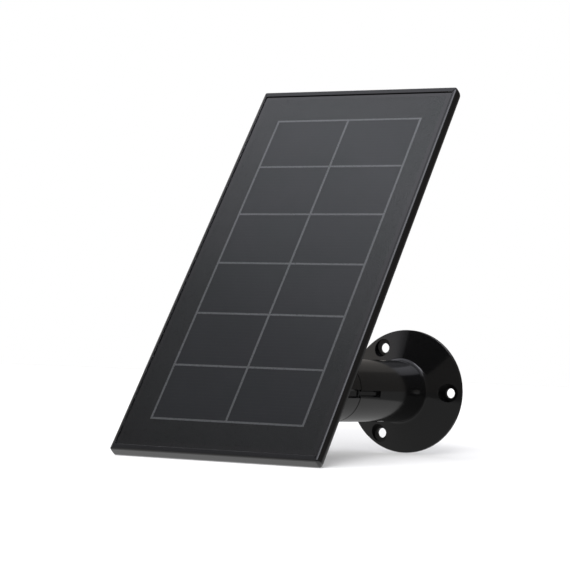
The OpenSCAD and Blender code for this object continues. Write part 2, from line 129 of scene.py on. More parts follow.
ARM = axes_at((0, 0, 0), (0, -1, 0))
STUD = axes_at(joint("panel_spin")["pos_m"], joint("panel_spin")["axis"])
glass_low, glass_high = local_box("cover_glass", STUD)
PANEL = STUD @ Matrix.Translation((0, (glass_low.y + glass_high.y) / 2, glass_high.z))


# ---------------------------------------------------------------- mesh tools

def make_object(name, bm, matrix, body, slot):
    """Turns bm into a piece that rides on body, placed by a frame's matrix."""
    bmesh.ops.recalc_face_normals(bm, faces=bm.faces)
    mesh = bpy.data.meshes.new(name)
    bm.to_mesh(mesh)
    bm.free()
    obj = bpy.data.objects.new(name, mesh)
    bpy.context.scene.collection.objects.link(obj)
    obj.matrix_world = matrix
    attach(obj, body)
    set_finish(obj, slot)
    return obj


def settle(obj):
    """Applies an object's modifiers to its mesh."""
    graph = bpy.context.evaluated_depsgraph_get()
    mesh = bpy.data.meshes.new_from_object(obj.evaluated_get(graph))
    obj.modifiers.clear()
    old, obj.data = obj.data, mesh
    bpy.data.meshes.remove(old)


def cut(obj, cutters, operation="DIFFERENCE"):
    """Cuts a list of bmeshes, given in obj's own frame, out of obj, or joins them to it."""
    for bm in cutters:
        bmesh.ops.recalc_face_normals(bm, faces=bm.faces)
        mesh = bpy.data.meshes.new("cutter")
        bm.to_mesh(mesh)
        bm.free()
        tool = bpy.data.objects.new("cutter", mesh)
        bpy.context.scene.collection.objects.link(tool)
        tool.matrix_world = obj.matrix_world
        mod = obj.modifiers.new("cut", "BOOLEAN")
        mod.object, mod.operation, mod.solver = tool, operation, "EXACT"
        bpy.context.view_layer.update()
        settle(obj)
        bpy.data.objects.remove(tool)
        bpy.data.meshes.remove(mesh)


def soften(obj, width, segments=3):
    """Rounds an object's sharp edges and gives it weighted normals."""
    mod = obj.modifiers.new("round", "BEVEL")
    mod.width, mod.segments = width, segments
    mod.limit_method, mod.angle_limit = "ANGLE", SHARP_ANGLE
    mod.miter_outer = "MITER_ARC"
    mod.use_clamp_overlap = True
    bpy.context.view_layer.update()
    settle(obj)
    smooth(obj)


def smooth(obj, angle=40):
    """Shades an object smooth, apart from edges sharper than angle, with normals weighted by face."""
    obj.data.polygons.foreach_set("use_smooth", [True] * len(obj.data.polygons))
    obj.data.set_sharp_from_angle(angle=math.radians(angle))
    mod = obj.modifiers.new("weighted", "WEIGHTED_NORMAL")
    mod.keep_sharp = True
    mod.weight = 60


def rounded(corners, steps=4, closed=True):
    """An outline whose corners (x, y, radius) are rounded off."""
    points, n = [], len(corners)
    for i, (x, y, r) in enumerate(corners):
        here = Vector((x, y))
        ends = not closed and i in (0, n - 1)
        if r <= 0 or ends:
            points.append(here)
            continue
        back = (Vector(corners[i - 1][:2]) - here).normalized()
        on = (Vector(corners[(i + 1) % n][:2]) - here).normalized()
        half = math.acos(max(-1, min(1, back.dot(on)))) / 2
        reach = r / math.tan(half)
        centre = here + (back + on).normalized() * (r / math.sin(half))
        start, end = here + back * reach - centre, here + on * reach - centre
        sweep = start.angle_signed(end)
        for k in range(steps + 1):
            points.append(centre + Matrix.Rotation(-sweep * k / steps, 2) @ start)
    return points


def lathe(profile, segments=96, closed=False):
    """Turns (radius, z) points round z. Ends on the axis close the solid."""
    bm = bmesh.new()
    rings = []
    for r, z in profile:
        if r < ON_AXIS:
            rings.append([bm.verts.new((0, 0, z))])
        else:
            rings.append([
                bm.verts.new((r * math.cos(TAU * k / segments), r * math.sin(TAU * k / segments), z))
                for k in range(segments)
            ])
    pairs = list(zip(rings, rings[1:] + rings[:1])) if closed else list(zip(rings, rings[1:]))
    for a, b in pairs:
        for k in range(segments):
            m = (k + 1) % segments
            quad = [a[k % len(a)], a[m % len(a)], b[m % len(b)], b[k % len(b)]]
            corners = list(dict.fromkeys(quad))
            if len(corners) > 2:
                bm.faces.new(corners)
    return bm


def rod(r, z0, z1, segments=48):
    """A cylinder along z."""
    return lathe([(0, z0), (r, z0), (r, z1), (0, z1)], segments)


def block(low, high):
    """A box between two corners."""
    bm = bmesh.new()
    bmesh.ops.create_cube(bm, size=1)
    low, high = Vector(low), Vector(high)
    for v in bm.verts:
        v.co = Vector(low[i] + (v.co[i] + 0.5) * (high[i] - low[i]) for i in range(3))
    return bm


def moved(bm, matrix):
    bmesh.ops.transform(bm, matrix=matrix, verts=bm.verts)
    return bm


def at(x, y, bm):
    return moved(bm, Matrix.Translation((x, y, 0)))


def along_x(bm, y, z):
    """Turns a shape made along z to lie along x, at height z."""
    return moved(bm, Matrix.Translation((0, y, z)) @ Matrix.Rotation(math.pi / 2, 4, "Y"))


def joined(bms):
    """One bmesh of several."""
    whole = bmesh.new()
    for bm in bms:
        mesh = bpy.data.meshes.new("part")
        bm.to_mesh(mesh)
        bm.free()
        whole.from_mesh(mesh)
        bpy.data.meshes.remove(mesh)
    return whole


def loft(loops, closed=False):
    """Joins loops of 3D points one after another, then caps the ends, or joins the last to the first."""
    bm = bmesh.new()
    rings = [[bm.verts.new(p) for p in loop] for loop in loops]
    n = len(rings[0])
    for a, b in zip(rings, rings[1:] + rings[:1] if closed else rings[1:]):
        for k in range(n):
            bm.faces.new((a[k], a[(k + 1) % n], b[(k + 1) % n], b[k]))
    if not closed:
        bm.faces.new(list(reversed(rings[0])))
        bm.faces.new(rings[-1])
    return bm


def mm(corners):
    """Corners written in millimetres, in metres."""
    return [tuple(c * MM for c in corner) for corner in corners]


def level(points, z):
    """2D points at height z."""
    return [(x, y, z) for x, y in points]


# ---------------------------------------------------------------- materials

class Nodes:
    """A short way to write a node tree."""

    def __init__(self, tree):
        self.tree = tree
        tree.nodes.clear()

    def add(self, kind, inputs=None, **settings):
        node = self.tree.nodes.new(kind)
        for key, value in settings.items():
            setattr(node, key, value)
        for key, value in (inputs or {}).items():
            socket = node.inputs[key]
            if isinstance(value, bpy.types.NodeSocket):
                self.tree.links.new(value, socket)
            else:
                socket.default_value = value
        return node

    def math(self, operation, a, b=0.0):
        return self.add("ShaderNodeMath", {0: a, 1: b}, operation=operation).outputs[0]

    def noise(self, coords, scale, detail=3.0, rough=0.5):
        node = self.add("ShaderNodeTexNoise",
                        {"Vector": coords, "Scale": scale, "Detail": detail, "Roughness": rough})
        return node.outputs["Fac"]

    def remap(self, value, low, high, to_low, to_high, smooth_step=False):
        node = self.add("ShaderNodeMapRange", {0: value, 1: low, 2: high, 3: to_low, 4: to_high},
                        interpolation_type="SMOOTHSTEP" if smooth_step else "LINEAR")
        return node.outputs[0]

    def blend(self, fac, a, b):
        node = self.add("ShaderNodeMix", data_type="RGBA")
        for index, value in ((0, fac), (6, a), (7, b)):
            if isinstance(value, bpy.types.NodeSocket):
                self.tree.links.new(value, node.inputs[index])
            else:
                node.inputs[index].default_value = value
        return node.outputs[2]

    def camera_ray(self):
        return self.add("ShaderNodeLightPath").outputs["Is Camera Ray"]

    def mix_shaders(self, fac, a, b):
        return self.add("ShaderNodeMixShader", {0: fac, 1: a, 2: b}).outputs[0]

    def show(self, shader, kind="Material"):
        self.add("ShaderNodeOutput" + kind, {0: shader})


def rgb(r, g=None, b=None):
    """A colour for a socket, or a grey."""
    return (r, r if g is None else g, r if b is None else b, 1.0)


def new_material(name):
    """A material, its node tree and the coordinates its texture is laid out in."""
    material = bpy.data.materials.new(name)
    material.use_nodes = True
    n = Nodes(material.node_tree)
    return material, n, n.add("ShaderNodeTexCoord").outputs["Object"]


def edge_mask(n, radius):
    """1 on sharp edges, 0 on flat faces."""
    round_normal = n.add("ShaderNodeBevel", {"Radius": radius}, samples=4).outputs[0]
    true_normal = n.add("ShaderNodeNewGeometry").outputs["Normal"]
    dot = n.add("ShaderNodeVectorMath", {0: round_normal, 1: true_normal}, operation="DOT_PRODUCT")
    return n.remap(dot.outputs["Value"], 0.97, 0.80, 0.0, 1.0)


def surface(name, colour, rough, metallic=0.0, grain=900, grain_depth=0.05, mottle=60, tone=0.12,
            rough_spread=0.08, wear_and_highlight=0.0, wear_and_highlight_colour=None, stretch=(1, 1, 1), coat=0.0, fine=None):
    """A moulded, turned or drawn surface: tone and roughness vary, the grain is a bump, edges are lightened,
    partly as wear and partly as a painted edge highlight.
    """
    material, n, place = new_material(name)
    place = n.add("ShaderNodeMapping", {"Vector": place, "Scale": stretch}).outputs[0]
    cloud = n.noise(place, mottle, 4)
    grains = n.noise(place, grain, 3, 0.6)
    dark = rgb(*[c * (1 - tone) for c in colour])
    light = rgb(*[c * (1 + tone) for c in colour])
    base = n.blend(cloud, dark, light)
    # Edges are lightened here: partly wear, partly a painted highlight along the rounded edges.
    if wear_and_highlight > 0:
        worn_and_highlit = n.math("MULTIPLY", edge_mask(n, 0.35 * MM), n.remap(grains, 0.35, 0.65, 0.3, 1.0))
        worn_and_highlit = n.math("MULTIPLY", worn_and_highlit, wear_and_highlight)
        base = n.blend(worn_and_highlit, base, rgb(*(wear_and_highlight_colour or [c * 2.2 + 0.01 for c in colour])))
    roughness = n.remap(n.math("ADD", n.math("MULTIPLY", cloud, 0.6), n.math("MULTIPLY", grains, 0.4)),
                        0.3, 0.7, rough - rough_spread, rough + rough_spread)
    height = grains
    if fine:
        dots = n.add("ShaderNodeTexVoronoi", {"Vector": place, "Scale": fine}).outputs["Distance"]
        height = n.math("ADD", grains, dots)
    bump = n.add("ShaderNodeBump", {"Height": height, "Distance": grain_depth * MM, "Strength": 1.0})
    shader = n.add("ShaderNodeBsdfPrincipled", {
        "Base Color": base, "Roughness": roughness, "Metallic": metallic, "Coat Weight": coat,
        "Normal": bump.outputs[0],
    })
    if coat:
        shader.inputs["Coat Roughness"].default_value = 0.08
    n.show(shader.outputs[0])
    return material


def glass_gloss(n, place):
    """The gloss of the clear pane, carried by the layers bonded to it. Haze and smears vary it."""
    haze = n.noise(place, 14, 3, 0.5)
    smear = n.noise(n.add("ShaderNodeMapping", {"Vector": place, "Scale": (1, 1, 0.2)}).outputs[0], 60, 3)
    rough = n.math("ADD", n.remap(haze, 0.35, 0.7, 0.05, 0.08), n.remap(smear, 0.55, 0.8, 0.0, 0.03))
    return {"Coat Weight": 1.0, "Coat Roughness": rough, "Coat IOR": 1.5}


def cell_material():
    """Dark silicon wafer: faint fingers across the cell, a soft tone from cell to cell, fine crystals."""
    finger_pitch, finger_width = 1.55 * MM, 0.10
    material, n, place = new_material("cell_silicon")
    split = n.add("ShaderNodeSeparateXYZ", {0: place})
    crystal = n.noise(place, 700, 2)
    cloud = n.noise(place, 26, 3)
    saw = n.math("FRACT", n.math("DIVIDE", split.outputs[2], finger_pitch))
    finger = n.math("LESS_THAN", saw, finger_width)
    each = n.add("ShaderNodeObjectInfo").outputs["Random"]
    tone = n.math("ADD", n.remap(each, 0, 1, -0.12, 0.12), n.remap(cloud, 0.3, 0.7, -0.08, 0.10))
    tone = n.math("ADD", tone, n.remap(crystal, 0.3, 0.7, -0.05, 0.05))
    base = n.blend(n.math("ADD", tone, 0.5), rgb(0.0062, 0.0064, 0.0076), rgb(0.0088, 0.0090, 0.0106))
    base = n.blend(n.math("MULTIPLY", finger, 0.04), base, rgb(0.10, 0.105, 0.115))
    shader = n.add("ShaderNodeBsdfPrincipled", {
        "Base Color": base, "Roughness": n.remap(crystal, 0.3, 0.7, 0.46, 0.54),
        "Specular IOR Level": 0.1, **glass_gloss(n, place),
    })
    n.show(shader.outputs[0])
    return material


def film_shader(n, place, base, spread, shine=0.1):
    """Printed film or plated foil bonded under the pane: fine print grain and a soft drift of tone."""
    grain = n.noise(place, 2400, 2)
    drift = n.noise(place, 22, 3)
    mix = n.math("ADD", n.remap(grain, 0.3, 0.7, 0.3, 0.7), n.remap(drift, 0.3, 0.7, -0.3, 0.3))
    dark, light = (rgb(*[c * (1 + k * spread) for c in base]) for k in (-1, 1))
    shader = n.add("ShaderNodeBsdfPrincipled", {
        "Base Color": n.blend(mix, dark, light), "Roughness": n.remap(grain, 0.3, 0.7, 0.26, 0.34),
        "Specular IOR Level": shine, **glass_gloss(n, place),
    })
    return shader.outputs[0]


def bonded_film(name, *look):
    """A material of film_shader alone."""
    material, n, place = new_material(name)
    n.show(film_shader(n, place, *look))
    return material


def glass_material():
    """Clear pane with a faint cloudy tint, which looks printed along its edges from outside."""
    printed = 2.3 * MM
    material, n, place = new_material("cover_glass")
    cloud = n.noise(place, 40, 3)
    tint = n.blend(n.remap(cloud, 0.35, 0.65, 0.0, 1.0), rgb(0.975, 0.985, 0.98), rgb(0.985, 0.99, 0.988))
    clear = n.add("ShaderNodeBsdfTransparent", {"Color": tint})
    half = local_box("cover_glass", PANEL)[1]
    inset = n.add("ShaderNodeVectorMath", {0: place, 1: tuple(PANEL.translation)}, operation="SUBTRACT")
    past = []
    for k in (0, 1):
        along = n.add("ShaderNodeVectorMath", {0: inset.outputs[0], 1: tuple(PANEL.col[k].to_3d())},
                      operation="DOT_PRODUCT").outputs[1]
        past.append(n.math("GREATER_THAN", n.math("ABSOLUTE", along), half[k] - printed))
    outside = n.math("SUBTRACT", 1.0, n.add("ShaderNodeNewGeometry").outputs["Backfacing"])
    seen = n.math("MULTIPLY", n.camera_ray(), outside)
    edge = n.math("MULTIPLY", n.math("MAXIMUM", *past), seen)
    n.show(n.mix_shaders(edge, clear.outputs[0], film_shader(n, place, MASK, 0.10)))
    return material


BLACK = (0.0092, 0.0092, 0.0094)
SOOT = (0.012, 0.012, 0.0125)
MASK = (0.0068, 0.0067, 0.0066)
BRIGHT_STEEL = (0.75, 0.76, 0.78)

# The wear settings below lighten edges, partly as wear and partly as a painted edge highlight.
MATERIALS = {
    "arm_plastic": surface("arm_plastic", BLACK, 0.11, grain=420, grain_depth=0.0015, mottle=35,
                           rough_spread=0.03, wear_and_highlight=0.15),
    "shield_plastic": surface("shield_plastic", SOOT, 0.38, grain=1500, grain_depth=0.01),
    "ball_plastic": surface("ball_plastic", (0.009, 0.009, 0.0093), 0.22, grain=500, grain_depth=0.004),
    "nut_plastic": surface("nut_plastic", SOOT, 0.42, grain=1600, grain_depth=0.02, wear_and_highlight=0.4),
    "cup_nylon": surface("cup_nylon", (0.62, 0.60, 0.54), 0.45, grain=800, tone=0.05),
    "seal_rubber": surface("seal_rubber", (0.014, 0.014, 0.0145), 0.75, grain=2200, grain_depth=0.03),
    "spring_steel": surface("spring_steel", (0.42, 0.43, 0.45), 0.34, 1.0, grain=700, stretch=(1, 12, 1)),
    "stud_steel": surface("stud_steel", (0.55, 0.56, 0.58), 0.30, 1.0, grain=900, grain_depth=0.01, wear_and_highlight=0.3,
                          wear_and_highlight_colour=BRIGHT_STEEL),
    "washer_steel": surface("washer_steel", (0.52, 0.53, 0.55), 0.33, 1.0, grain=800, wear_and_highlight=0.3,
                            wear_and_highlight_colour=BRIGHT_STEEL),
    "screw_steel": surface("screw_steel", (0.16, 0.16, 0.17), 0.36, 1.0, grain=900, grain_depth=0.01,
                           wear_and_highlight=0.4, wear_and_highlight_colour=(0.45, 0.45, 0.46)),
    "frame_plastic": surface("frame_plastic", (0.006, 0.006, 0.0063), 0.20, grain=1500, grain_depth=0.003,
                             mottle=30, rough_spread=0.04, wear_and_highlight=0.2),
    "shell_plastic": surface("shell_plastic", SOOT, 0.50, grain=1100, grain_depth=0.035,
                             mottle=24, wear_and_highlight=0.4, fine=2400),
    "grid_silver": bonded_film("grid_silver", (0.040, 0.040, 0.042), 0.08, 0.85),
    "mask_film": bonded_film("mask_film", MASK, 0.10),
    "board_laminate": surface("board_laminate", (0.015, 0.016, 0.018), 0.55, grain=1800, stretch=(6, 1, 1)),
    "foam_tape": surface("foam_tape", (0.02, 0.02, 0.02), 0.9, grain=1500, grain_depth=0.2, fine=1800),
    "ribbon_copper": surface("ribbon_copper", (0.62, 0.36, 0.22), 0.32, 1.0, grain=900, stretch=(1, 14, 1)),
    "insert_brass": surface("insert_brass", (0.62, 0.46, 0.17), 0.30, 1.0, grain=1200, wear_and_highlight=0.3,
                            wear_and_highlight_colour=(0.85, 0.70, 0.35)),
    "board_green": surface("board_green", (0.012, 0.085, 0.030), 0.35, grain=1500, mottle=420, tone=0.35,
                           coat=0.4),
    "inductor_core": surface("inductor_core", (0.03, 0.03, 0.031), 0.6, grain=1900, grain_depth=0.04),
    "capacitor_can": surface("capacitor_can", (0.5, 0.51, 0.53), 0.28, 1.0, grain=1300, stretch=(1, 1, 10)),
    "chip_epoxy": surface("chip_epoxy", (0.012, 0.012, 0.012), 0.6, grain=2600, grain_depth=0.02),
    "socket_metal": surface("socket_metal", (0.55, 0.55, 0.56), 0.27, 1.0, grain=1100, stretch=(1, 9, 1)),
    "cover_rubber": surface("cover_rubber", (0.017, 0.017, 0.0175), 0.68, grain=1900, grain_depth=0.03,
                            wear_and_highlight=0.2),
    "lead_red": surface("lead_red", (0.32, 0.015, 0.012), 0.45, grain=1500, grain_depth=0.01),
    "lead_black": surface("lead_black", (0.012, 0.012, 0.012), 0.45, grain=1500, grain_depth=0.01),
    "membrane_white": surface("membrane_white", (0.62, 0.62, 0.61), 0.85, grain=3200, grain_depth=0.05,
                              fine=3600),
    "cell_silicon": cell_material(),
    "cover_glass": glass_material(),
}
MATERIALS["clear_film"] = MATERIALS["cover_glass"]


def paint(obj, slot):
    """Gives every material slot of an object the same material."""
    obj.data.materials.clear()
    obj.data.materials.append(MATERIALS[slot])


def finish_piece(obj, *nodes):
    """Paints a new piece with its slot's material and lets it stand for the CAD nodes.

    The mesh moves into the row's frame, as the CAD meshes are.
    """
    obj.data.transform(obj.matrix_world)
    obj.matrix_world = Matrix()
    paint(obj, obj["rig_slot"])
    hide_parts(*nodes)


# ---------------------------------------------------------------- wall arm

ring_low, ring_high = local_box("lock_ring", ARM)
BALL_REACH = -joint("arm_swivel")["pos_m"][1]
BOLTS = next(m for m in frame["record"]["mounts"] if m["name"] == "wall_bolts")["dims"]
PLATE_R = local_box("wall_base", ARM)[1].x
ARM_R = ring_high.y
SEAM = ring_low.z
RING_FRONT = ring_high.z
SCREWS = BOLTS["count"]
HEAD_R, HEAD_FLOOR = 4.8 * MM, 2.0 * MM    # a wall screw's counterbore
CONE_TOP_R, CONE_TOP_Z = 17.4 * MM, 9.3 * MM
ROOT_FILLET, DRAFT = 2.8 * MM, 0.35 * MM
SPIGOT_R, SEAT_R = 13.32 * MM, 13.4 * MM
GROOVE_DEPTH, GROOVE_SLOPE = 1.3 * MM, 0.7
GROOVE_LEN, GROOVE_TURN = 21.5 * MM, math.radians(4.8)


def around(maker, turn=0.0):
    """One bmesh for each wall screw's direction round the arm, as one."""
    return joined([moved(maker(), Matrix.Rotation(TAU * i / SCREWS + turn, 4, "Z")) for i in range(SCREWS)])


def groove(width, z0, z1):
    """A groove along the arm with leaning sides."""
    over = 1 * MM
    foot = width / 2 - GROOVE_DEPTH * GROOVE_SLOPE
    top = width / 2 + over * GROOVE_SLOPE
    floor = ARM_R - GROOVE_DEPTH
    outline = [(floor, -foot), (ARM_R + over, -top), (ARM_R + over, top), (floor, foot)]
    return loft([level(outline, z0), level(outline, z1)])


def coring_pocket():
    """A sector pocket in the plate's back."""
    inner, outer, depth, half_angle = 15.4 * MM, 20.6 * MM, 4.2 * MM, math.radians(27)
    angles = np.linspace(-half_angle, half_angle, 13)
    ring = [(inner * math.cos(t), inner * math.sin(t)) for t in angles]
    ring += [(outer * math.cos(t), outer * math.sin(t)) for t in reversed(angles)]
    return loft([level(ring, -MM), level(ring, depth)])


def screw_hole():
    """A wall screw's hole with its counterbore."""
    hole_r, top = BOLTS["hole_r_mm"] * MM, 12 * MM
    bm = lathe([(0, -MM), (hole_r, -MM), (hole_r, HEAD_FLOOR), (HEAD_R, HEAD_FLOOR), (HEAD_R, top), (0, top)],
               64)
    return moved(bm, Matrix.Translation((BOLTS["pcd_mm"] / 2 * MM, 0, 0)))


def wall_base():
    """Plate, cone, tube and spigot, turned in one piece, then cut for screws, grooves and coring."""
    rim, pockets = 2.2 * MM, 6
    cone = (CONE_TOP_Z - rim) / (PLATE_R - CONE_TOP_R)
    root_r = ARM_R + DRAFT
    root_z = CONE_TOP_Z + cone * (CONE_TOP_R - root_r)
    tube_end = SEAM - 0.5 * MM
    outside = [
        (12.3 * MM, 0, 0.3 * MM), (PLATE_R, 0, 0.25 * MM), (PLATE_R, rim, 0.5 * MM),
        (root_r, root_z, ROOT_FILLET), (ARM_R, tube_end, 0.4 * MM),
        (SPIGOT_R, tube_end, 0.1 * MM),
    ]
    inside = mm([(13.32, 110, 0.4), (10.5, 110, 0.2), (10.5, 99.5, 0.2), (0, 99.5, 0), (0, 95.5, 0),
                 (10, 95.5, 0.4), (10, 81.3, 0.3), (12.3, 79, 0.3)])
    bm = lathe(rounded(outside + inside, steps=7), 144, closed=True)
    obj = make_object("wall_plate_and_tube", bm, ARM, "wall_mount", "arm_plastic")
    cut(obj, [
        around(screw_hole),
        around(lambda: groove(3.4 * MM, SEAM - 0.2 * MM - GROOVE_LEN, SEAM), -GROOVE_TURN),
        joined([moved(coring_pocket(), Matrix.Rotation(TAU * i / pockets, 4, "Z")) for i in range(pockets)]),
    ])
    soften(obj, 0.2 * MM)
    finish_piece(obj, "wall_base")


def lock_ring():
    """The turning collar: seal recess at the back, round seat and flared mouth at the front."""
    mouth = 11.8 * MM
    throat = math.sqrt(SEAT_R ** 2 - mouth ** 2)
    recess_r, recess_end = 15.1 * MM, SEAM + 1.45 * MM
    seat = [(SEAT_R * math.sin(t), BALL_REACH + SEAT_R * math.cos(t), 0)
            for t in np.linspace(math.asin(mouth / SEAT_R), math.pi / 2, 14)]
    corners = [
        (ARM_R, SEAM, 0.4 * MM), (ARM_R, RING_FRONT, 1.2 * MM), (13.5 * MM, RING_FRONT, 0.3 * MM),
        (mouth, BALL_REACH + throat + 0.05 * MM, 0.15 * MM),
    ] + seat[1:] + [
        (SEAT_R, recess_end, 0.1 * MM), (recess_r, recess_end, 0.1 * MM), (recess_r, SEAM, 0.1 * MM),
    ]
    obj = make_object("lock_ring_collar", lathe(rounded(corners), 144, closed=True), ARM, "lock_ring",
                      "arm_plastic")
    cut(obj, [around(lambda: groove(4.6 * MM, SEAM - MM, RING_FRONT + MM), -GROOVE_TURN)])
    soften(obj, 0.2 * MM)
    finish_piece(obj, "lock_ring")


# ---------------------------------------------------------------- ball joint

BALL = ARM @ Matrix.Translation((0, 0, BALL_REACH))
BALL_R, BALL_FLAT = 12 * MM, 11.2 * MM
THREAD_SIDES = 48
STUD_R, STUD_BORE = 3.1 * MM, 3.16 * MM
HEAD_BORE, HEAD_SEAT = 5.4 * MM, -3 * MM
stud_low, stud_high = local_box("stud", STUD)
nut_low, nut_high = local_box("jam_nut", STUD)
washer_low, washer_high = local_box("jam_washer", STUD)


def sphere_arc(radius, z0, z1, steps):
    """Profile points along a sphere, from one height to another."""
    t0, t1 = math.acos(z0 / radius), math.acos(z1 / radius)
    return [(radius * math.sin(t), radius * math.cos(t)) for t in np.linspace(t0, t1, steps)]


def ball_shield():
    """The slotted cap that turns in the lock ring and lets the ball tilt one way."""
    outer, inner, back = 13.3 * MM, 12.1 * MM, -5 * MM
    profile = sphere_arc(outer, outer, back, 28) + sphere_arc(inner, back, inner, 28)
    obj = make_object("slotted_ball_cap", lathe(profile, 128), BALL, "swivel", "shield_plastic")
    half = 3.4 * MM
    cut(obj, [block((-half, -inner, 0), (half, inner, 20 * MM))])
    soften(obj, 0.18 * MM)
    finish_piece(obj, "ball_shield")


def pivot_ball():
    """The ball, bored for the stud, with a flat in front and a deep pocket for the stud's head."""
    rim = -math.sqrt(BALL_R ** 2 - HEAD_BORE ** 2)
    profile = sphere_arc(BALL_R, rim + 0.1 * MM, BALL_FLAT - 0.1 * MM, 40)
    flat_r = math.sqrt(BALL_R ** 2 - BALL_FLAT ** 2)
    profile += [(flat_r - 0.2 * MM, BALL_FLAT), (STUD_BORE + 0.25 * MM, BALL_FLAT),
                (STUD_BORE, BALL_FLAT - 0.25 * MM), (STUD_BORE, HEAD_SEAT), (HEAD_BORE, HEAD_SEAT),
                (HEAD_BORE, rim + 0.2 * MM)]
    obj = make_object("pivot_ball_bored", lathe(profile, 128, closed=True), STUD, "ball", "ball_plastic")
    smooth(obj)
    finish_piece(obj, "pivot_ball")


def thread_rows(r_major, depth, pitch, z0, z1):
    """A helical thread's skin between two flat ends. Each row follows the helix."""
    shape = [(0.0, 0.0), (0.14, 0.0), (0.46, 1.0), (0.60, 1.0), (0.92, 0.0)]    # share of pitch, of depth
    turns = math.ceil((z1 - z0) / pitch) + 1
    bm = bmesh.new()
    rows = []
    for turn in range(-1, turns):
        for part, rise in shape:
            row = []
            for k in range(THREAD_SIDES + 1):
                z = z0 + pitch * (turn + part + k / THREAD_SIDES)
                held = min(max(z, z0), z1)
                fade = min(1.0, (held - z0) / pitch, (z1 - held) / pitch)
                r = r_major - depth + depth * rise * max(fade, 0.0)
                t = TAU * k / THREAD_SIDES
                row.append(bm.verts.new((r * math.cos(t), r * math.sin(t), held)))
            rows.append(row)
    for low, high in zip(rows, rows[1:]):
        for k in range(THREAD_SIDES):
            bm.faces.new((low[k], low[k + 1], high[k + 1], high[k]))
    bmesh.ops.remove_doubles(bm, verts=bm.verts, dist=WELD)
    bmesh.ops.dissolve_degenerate(bm, edges=bm.edges, dist=WELD / 2)
    return bm


def stud():
    """A headed 1/4-20 stud: socket head inside the ball, rolled thread out to the panel."""
    head_r, head_t, pitch, depth = 5 * MM, 3 * MM, 1.27 * MM, 0.5 * MM
    head_top = stud_low.z + head_t
    thread_start, thread_end = BALL_FLAT + 1.2 * MM, stud_high.z - 0.9 * MM
    root = STUD_R - depth
    socket_r, socket_floor = 2.3 * MM, stud_low.z + 2 * MM
    low_end = lathe(rounded([
        (0, stud_low.z, 0), (head_r, stud_low.z, 0.35 * MM), (head_r, head_top, 0.3 * MM),
        (STUD_R, head_top, 0.15 * MM), (STUD_R, thread_start - depth, 0), (root, thread_start, 0),
    ], closed=False), THREAD_SIDES)
    high_end = lathe([(root, thread_end), (STUD_R - 1.1 * MM, stud_high.z), (0, stud_high.z)], THREAD_SIDES)
    bm = joined([low_end, thread_rows(STUD_R, depth, pitch, thread_start, thread_end), high_end])
    bmesh.ops.remove_doubles(bm, verts=bm.verts, dist=WELD)
    obj = make_object("threaded_stud", bm, STUD, "panel", "stud_steel")
    cut(obj, [rod(socket_r, stud_low.z - MM, socket_floor, 6)])
    smooth(obj, 50)
    finish_piece(obj, "stud")


def jam_nut():
    """A hand nut with scalloped grips, chamfered both ends."""
    outer, flutes, per_flute, flute_depth = nut_high.x, 14, 16, 0.75 * MM
    points = flutes * per_flute

    def outline(inset):
        path = []
        for k in range(points):
            t = TAU * k / points
            ripple = 0.5 - 0.5 * math.cos(flutes * t)
            r = outer - inset - flute_depth * (1 - ripple) ** 2
            path.append((r * math.cos(t), r * math.sin(t)))
        return path

    def circle(r):
        return [(r * math.cos(TAU * k / points), r * math.sin(TAU * k / points)) for k in range(points)]

    hole, flared, sunk, rim = (circle(STUD_BORE * k) for k in (1, 1.1, 2, 2.12))
    low, high, c, dip = nut_low.z, nut_high.z, 0.6 * MM, 0.5 * MM
    loops = [
        level(hole, low + dip + 0.3 * MM), level(flared, low + dip), level(sunk, low + dip), level(rim, low),
        level(outline(c), low), level(outline(c * 0.3), low + c * 0.3), level(outline(0), low + c),
        level(outline(0), high - c), level(outline(c * 0.3), high - c * 0.3), level(outline(c), high),
        level(flared, high), level(hole, high - 0.3 * MM),
    ]
    obj = make_object("scalloped_jam_nut", loft(loops, closed=True), STUD, "jam_nut", "nut_plastic")
    smooth(obj, 35)
    finish_piece(obj, "jam_nut")


def jam_washer():
    """The washer between the nut and the case."""
    profile = rounded([
        (STUD_BORE, washer_low.z, 0.1 * MM), (washer_high.x, washer_low.z, 0.25 * MM),
        (washer_high.x, washer_high.z, 0.15 * MM), (STUD_BORE, washer_high.z, 0.1 * MM),
    ])
    obj = make_object("steel_washer", lathe(profile, 96, closed=True), STUD, "nut_washer", "washer_steel")
    smooth(obj)
    finish_piece(obj, "jam_washer")


# ---------------------------------------------------------------- panel front

frame_high = local_box("front_frame", PANEL)[1]
glass_back = local_box("encapsulant", PANEL)[0].z
FRAME_W, FRAME_H = 2 * frame_high.x, 2 * frame_high.y
FRAME_BACK = -6 * MM
RIM = frame_high.z
GLASS_W, GLASS_H = glass_high.x - glass_low.x, glass_high.y - glass_low.y
LEDGE = local_box("edge_tape", PANEL)[0].z
CORNER_R, CORNER_STEPS = 1.6 * MM, 6
POST_R, PILOT_R, POST_END = 3 * MM, 1.2 * MM, -8.8 * MM    # the case screws' posts and their holes
CASE_SCREWS = [(sx * 45 * MM, y * MM) for sx in (-1, 1) for y in (-100, -36, 36, 100)]


def panel_loop(w, h, r, z, side=0.0, end=0.0, middle=0.0):
    """A rounded rectangle at height z, pulled in by side and end, which blend round its corners."""
    points = []
    for sx, sy, start in ((1, 1, 0), (-1, 1, 90), (-1, -1, 180), (1, -1, 270)):
        for k in range(CORNER_STEPS + 1):
            t = math.radians(start + 90 * k / CORNER_STEPS)
            nx, ny = math.cos(t), math.sin(t)
            reach = r - (nx * nx * side + ny * ny * end)
            points.append((sx * (w / 2 - r) + reach * nx, sy * (h / 2 - r) + reach * ny + middle, z))
    return points


